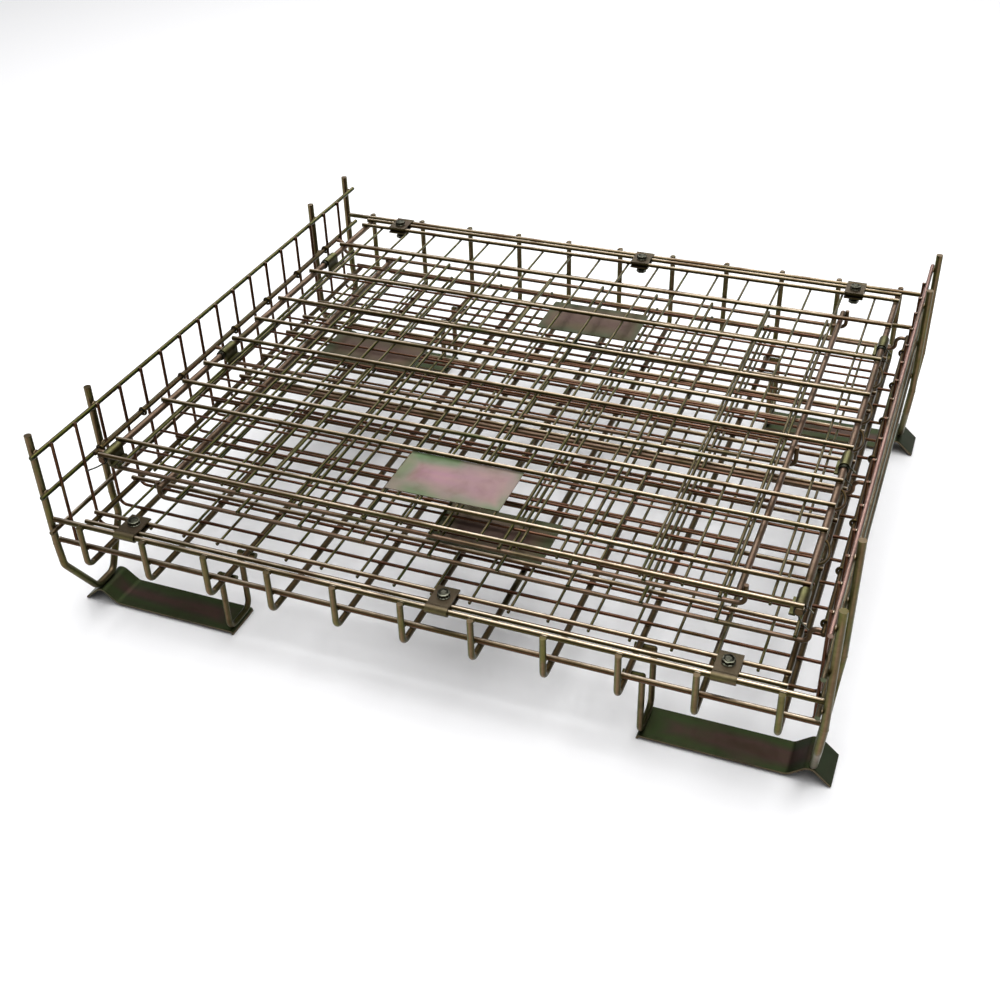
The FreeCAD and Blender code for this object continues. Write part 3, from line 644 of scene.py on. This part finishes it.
def make_edge_bows():
    """Bowed wire loops along the outside of the back wall's right edge rod."""
    low, high = max(boxes("back_wall_edge_rods"), key=lambda box: box[0].x)
    side, height = high.x, (low.z + high.z) / 2 - BOW_INSET
    hinge_y = max(high.y for low, high in boxes("back_top_rail")) - RAIL_RADIUS

    def build(work):
        for near, far in EDGE_BOWS:
            start, end = hinge_y - near * MM, hinge_y - far * MM
            points = []
            for step in range(BOW_STEPS + 1):
                part = step / BOW_STEPS
                wave = math.sin(math.pi * part)
                points.append(Vector((side - BOW_INSET + wave ** BOW_ROUNDNESS * BOW_REACH,
                                      start + (end - start) * part, height - BOW_SAG * wave)))
            tube(work, points, BOW_WIRE)
    add_piece("back_wall_edge_bows", mesh_from(build), dull_rod, "back_wall", "mesh_wire")


SPRING_WIRE = 1.2 * MM    # radius
SPRING_TURNS = 2
SPRING_STEPS = 40
SPRING_GAP = 2 * MM       # between the hook and the first turn
SPRING_PITCH = 0.13 * MM  # along the rod, for each step
TAIL_STEPS = 8
TAIL_OUT, TAIL_RUN, TAIL_DROP = 1.0 * MM, 2.2 * MM, 0.55 * MM    # for each step
TAIL_FLARE = 0.12 * MM    # further out, for the square of the step


def make_hook_springs():
    """A wire spring in front of each latch hook: two turns round the edge rod and a tail."""
    rods = boxes("back_wall_edge_rods")

    def build(work):
        for low, high in boxes("back_wall_latch_hooks"):
            rod = min(rods, key=lambda box: abs(box[0].x + box[1].x - low.x - high.x))
            centre = (rod[0] + rod[1]) / 2
            radius = (rod[1].x - rod[0].x) / 2 + SPRING_WIRE
            outward = 1 if centre.x > 0 else -1
            points = []
            for step in range(SPRING_STEPS + 1):
                angle = math.tau * SPRING_TURNS * step / SPRING_STEPS - math.pi / 2
                points.append(Vector((centre.x + outward * radius * math.cos(angle),
                                      low.y - SPRING_GAP - step * SPRING_PITCH,
                                      centre.z + radius * math.sin(angle))))
            last = points[-1]
            for step in range(1, TAIL_STEPS + 1):
                out = TAIL_OUT * step + TAIL_FLARE * step * step
                points.append(last + Vector((outward * out, -step * TAIL_RUN, -step * TAIL_DROP)))
            tube(work, points, SPRING_WIRE, 8)
    add_piece("back_wall_hook_springs", mesh_from(build), bolt_finish, "back_wall", "clip_sheet")


make_edge_bows()
make_hook_springs()


# ---------------------------------------------------------------- floor, light, camera

FLOOR_SIZE = 40
FLOOR_COLOUR = (0.96, 0.96, 0.97, 1)
# Brightness of the room, from level and below (0) to straight up (1).
SKY = [(0.0, (0.10, 0.10, 0.10)), (0.30, (0.14, 0.14, 0.14)), (0.60, (0.35, 0.35, 0.36)),
       (1.0, (1.0, 1.0, 1.0))]
SKY_STRENGTH = 0.85
# Name, place, the point it shines at, width and depth (m), power (W).
LIGHTS = (
    ("overhead", (0.2, -0.1, 3.2), (0, 0, 0), (3.4, 3.2), 138),
    ("rear_strip", (-0.6, 3.6, 2.6), (0, 0, 0.2), (4.0, 0.6), 45),
)
SENSOR_WIDTH = 36


def make_floor():
    bpy.ops.mesh.primitive_plane_add(size=FLOOR_SIZE, location=(0, 0, 0))
    floor = bpy.context.object
    floor.name = "studio_floor"
    material, tree, links = new_material("studio_floor")
    shader = tree.new("ShaderNodeBsdfPrincipled")
    shader.inputs["Base Color"].default_value = FLOOR_COLOUR
    shader.inputs["Roughness"].default_value = 0.9
    shader.inputs["Specular IOR Level"].default_value = 0.1
    output = tree.new("ShaderNodeOutputMaterial")
    links.new(shader.outputs["BSDF"], output.inputs["Surface"])
    floor.data.materials.append(material)


def make_world():
    """A room that is dark at eye level and below, and grows light overhead."""
    world = bpy.data.worlds.new("studio")
    bpy.context.scene.world = world
    world.use_nodes = True
    tree, links = world.node_tree.nodes, world.node_tree.links
    place = tree.new("ShaderNodeTexCoord")
    split = tree.new("ShaderNodeSeparateXYZ")
    links.new(place.outputs["Generated"], split.inputs["Vector"])
    sky = ramp(tree, SKY)
    links.new(split.outputs["Z"], sky.inputs["Fac"])
    background = tree["Background"]
    background.inputs["Strength"].default_value = SKY_STRENGTH
    links.new(sky.outputs["Color"], background.inputs["Color"])


def make_lights():
    for name, place, aim, size, power in LIGHTS:
        lamp = bpy.data.lights.new(name, "AREA")
        lamp.shape = "RECTANGLE"
        lamp.size, lamp.size_y = size
        lamp.energy = power
        holder = bpy.data.objects.new(name, lamp)
        holder.location = place
        holder.rotation_euler = (Vector(aim) - Vector(place)).to_track_quat("-Z", "Y").to_euler()
        bpy.context.scene.collection.objects.link(holder)


def make_camera():
    data = bpy.data.cameras.new("camera")
    data.lens = CAMERA_LENS
    data.sensor_width = SENSOR_WIDTH
    data.clip_end = 100
    camera = bpy.data.objects.new("camera", data)
    turn = Euler((math.radians(90 + CAMERA_TILT), 0, math.radians(CAMERA_HEADING))).to_matrix()
    roll = Matrix.Rotation(math.radians(CAMERA_ROLL), 3, "Z")
    camera.matrix_world = Matrix.Translation(CAMERA_PLACE) @ (turn @ roll).to_4x4()
    bpy.context.scene.collection.objects.link(camera)
    bpy.context.scene.camera = camera


make_floor()
make_world()
make_lights()
make_camera()
bpy.context.scene.view_settings.view_transform = "Standard"
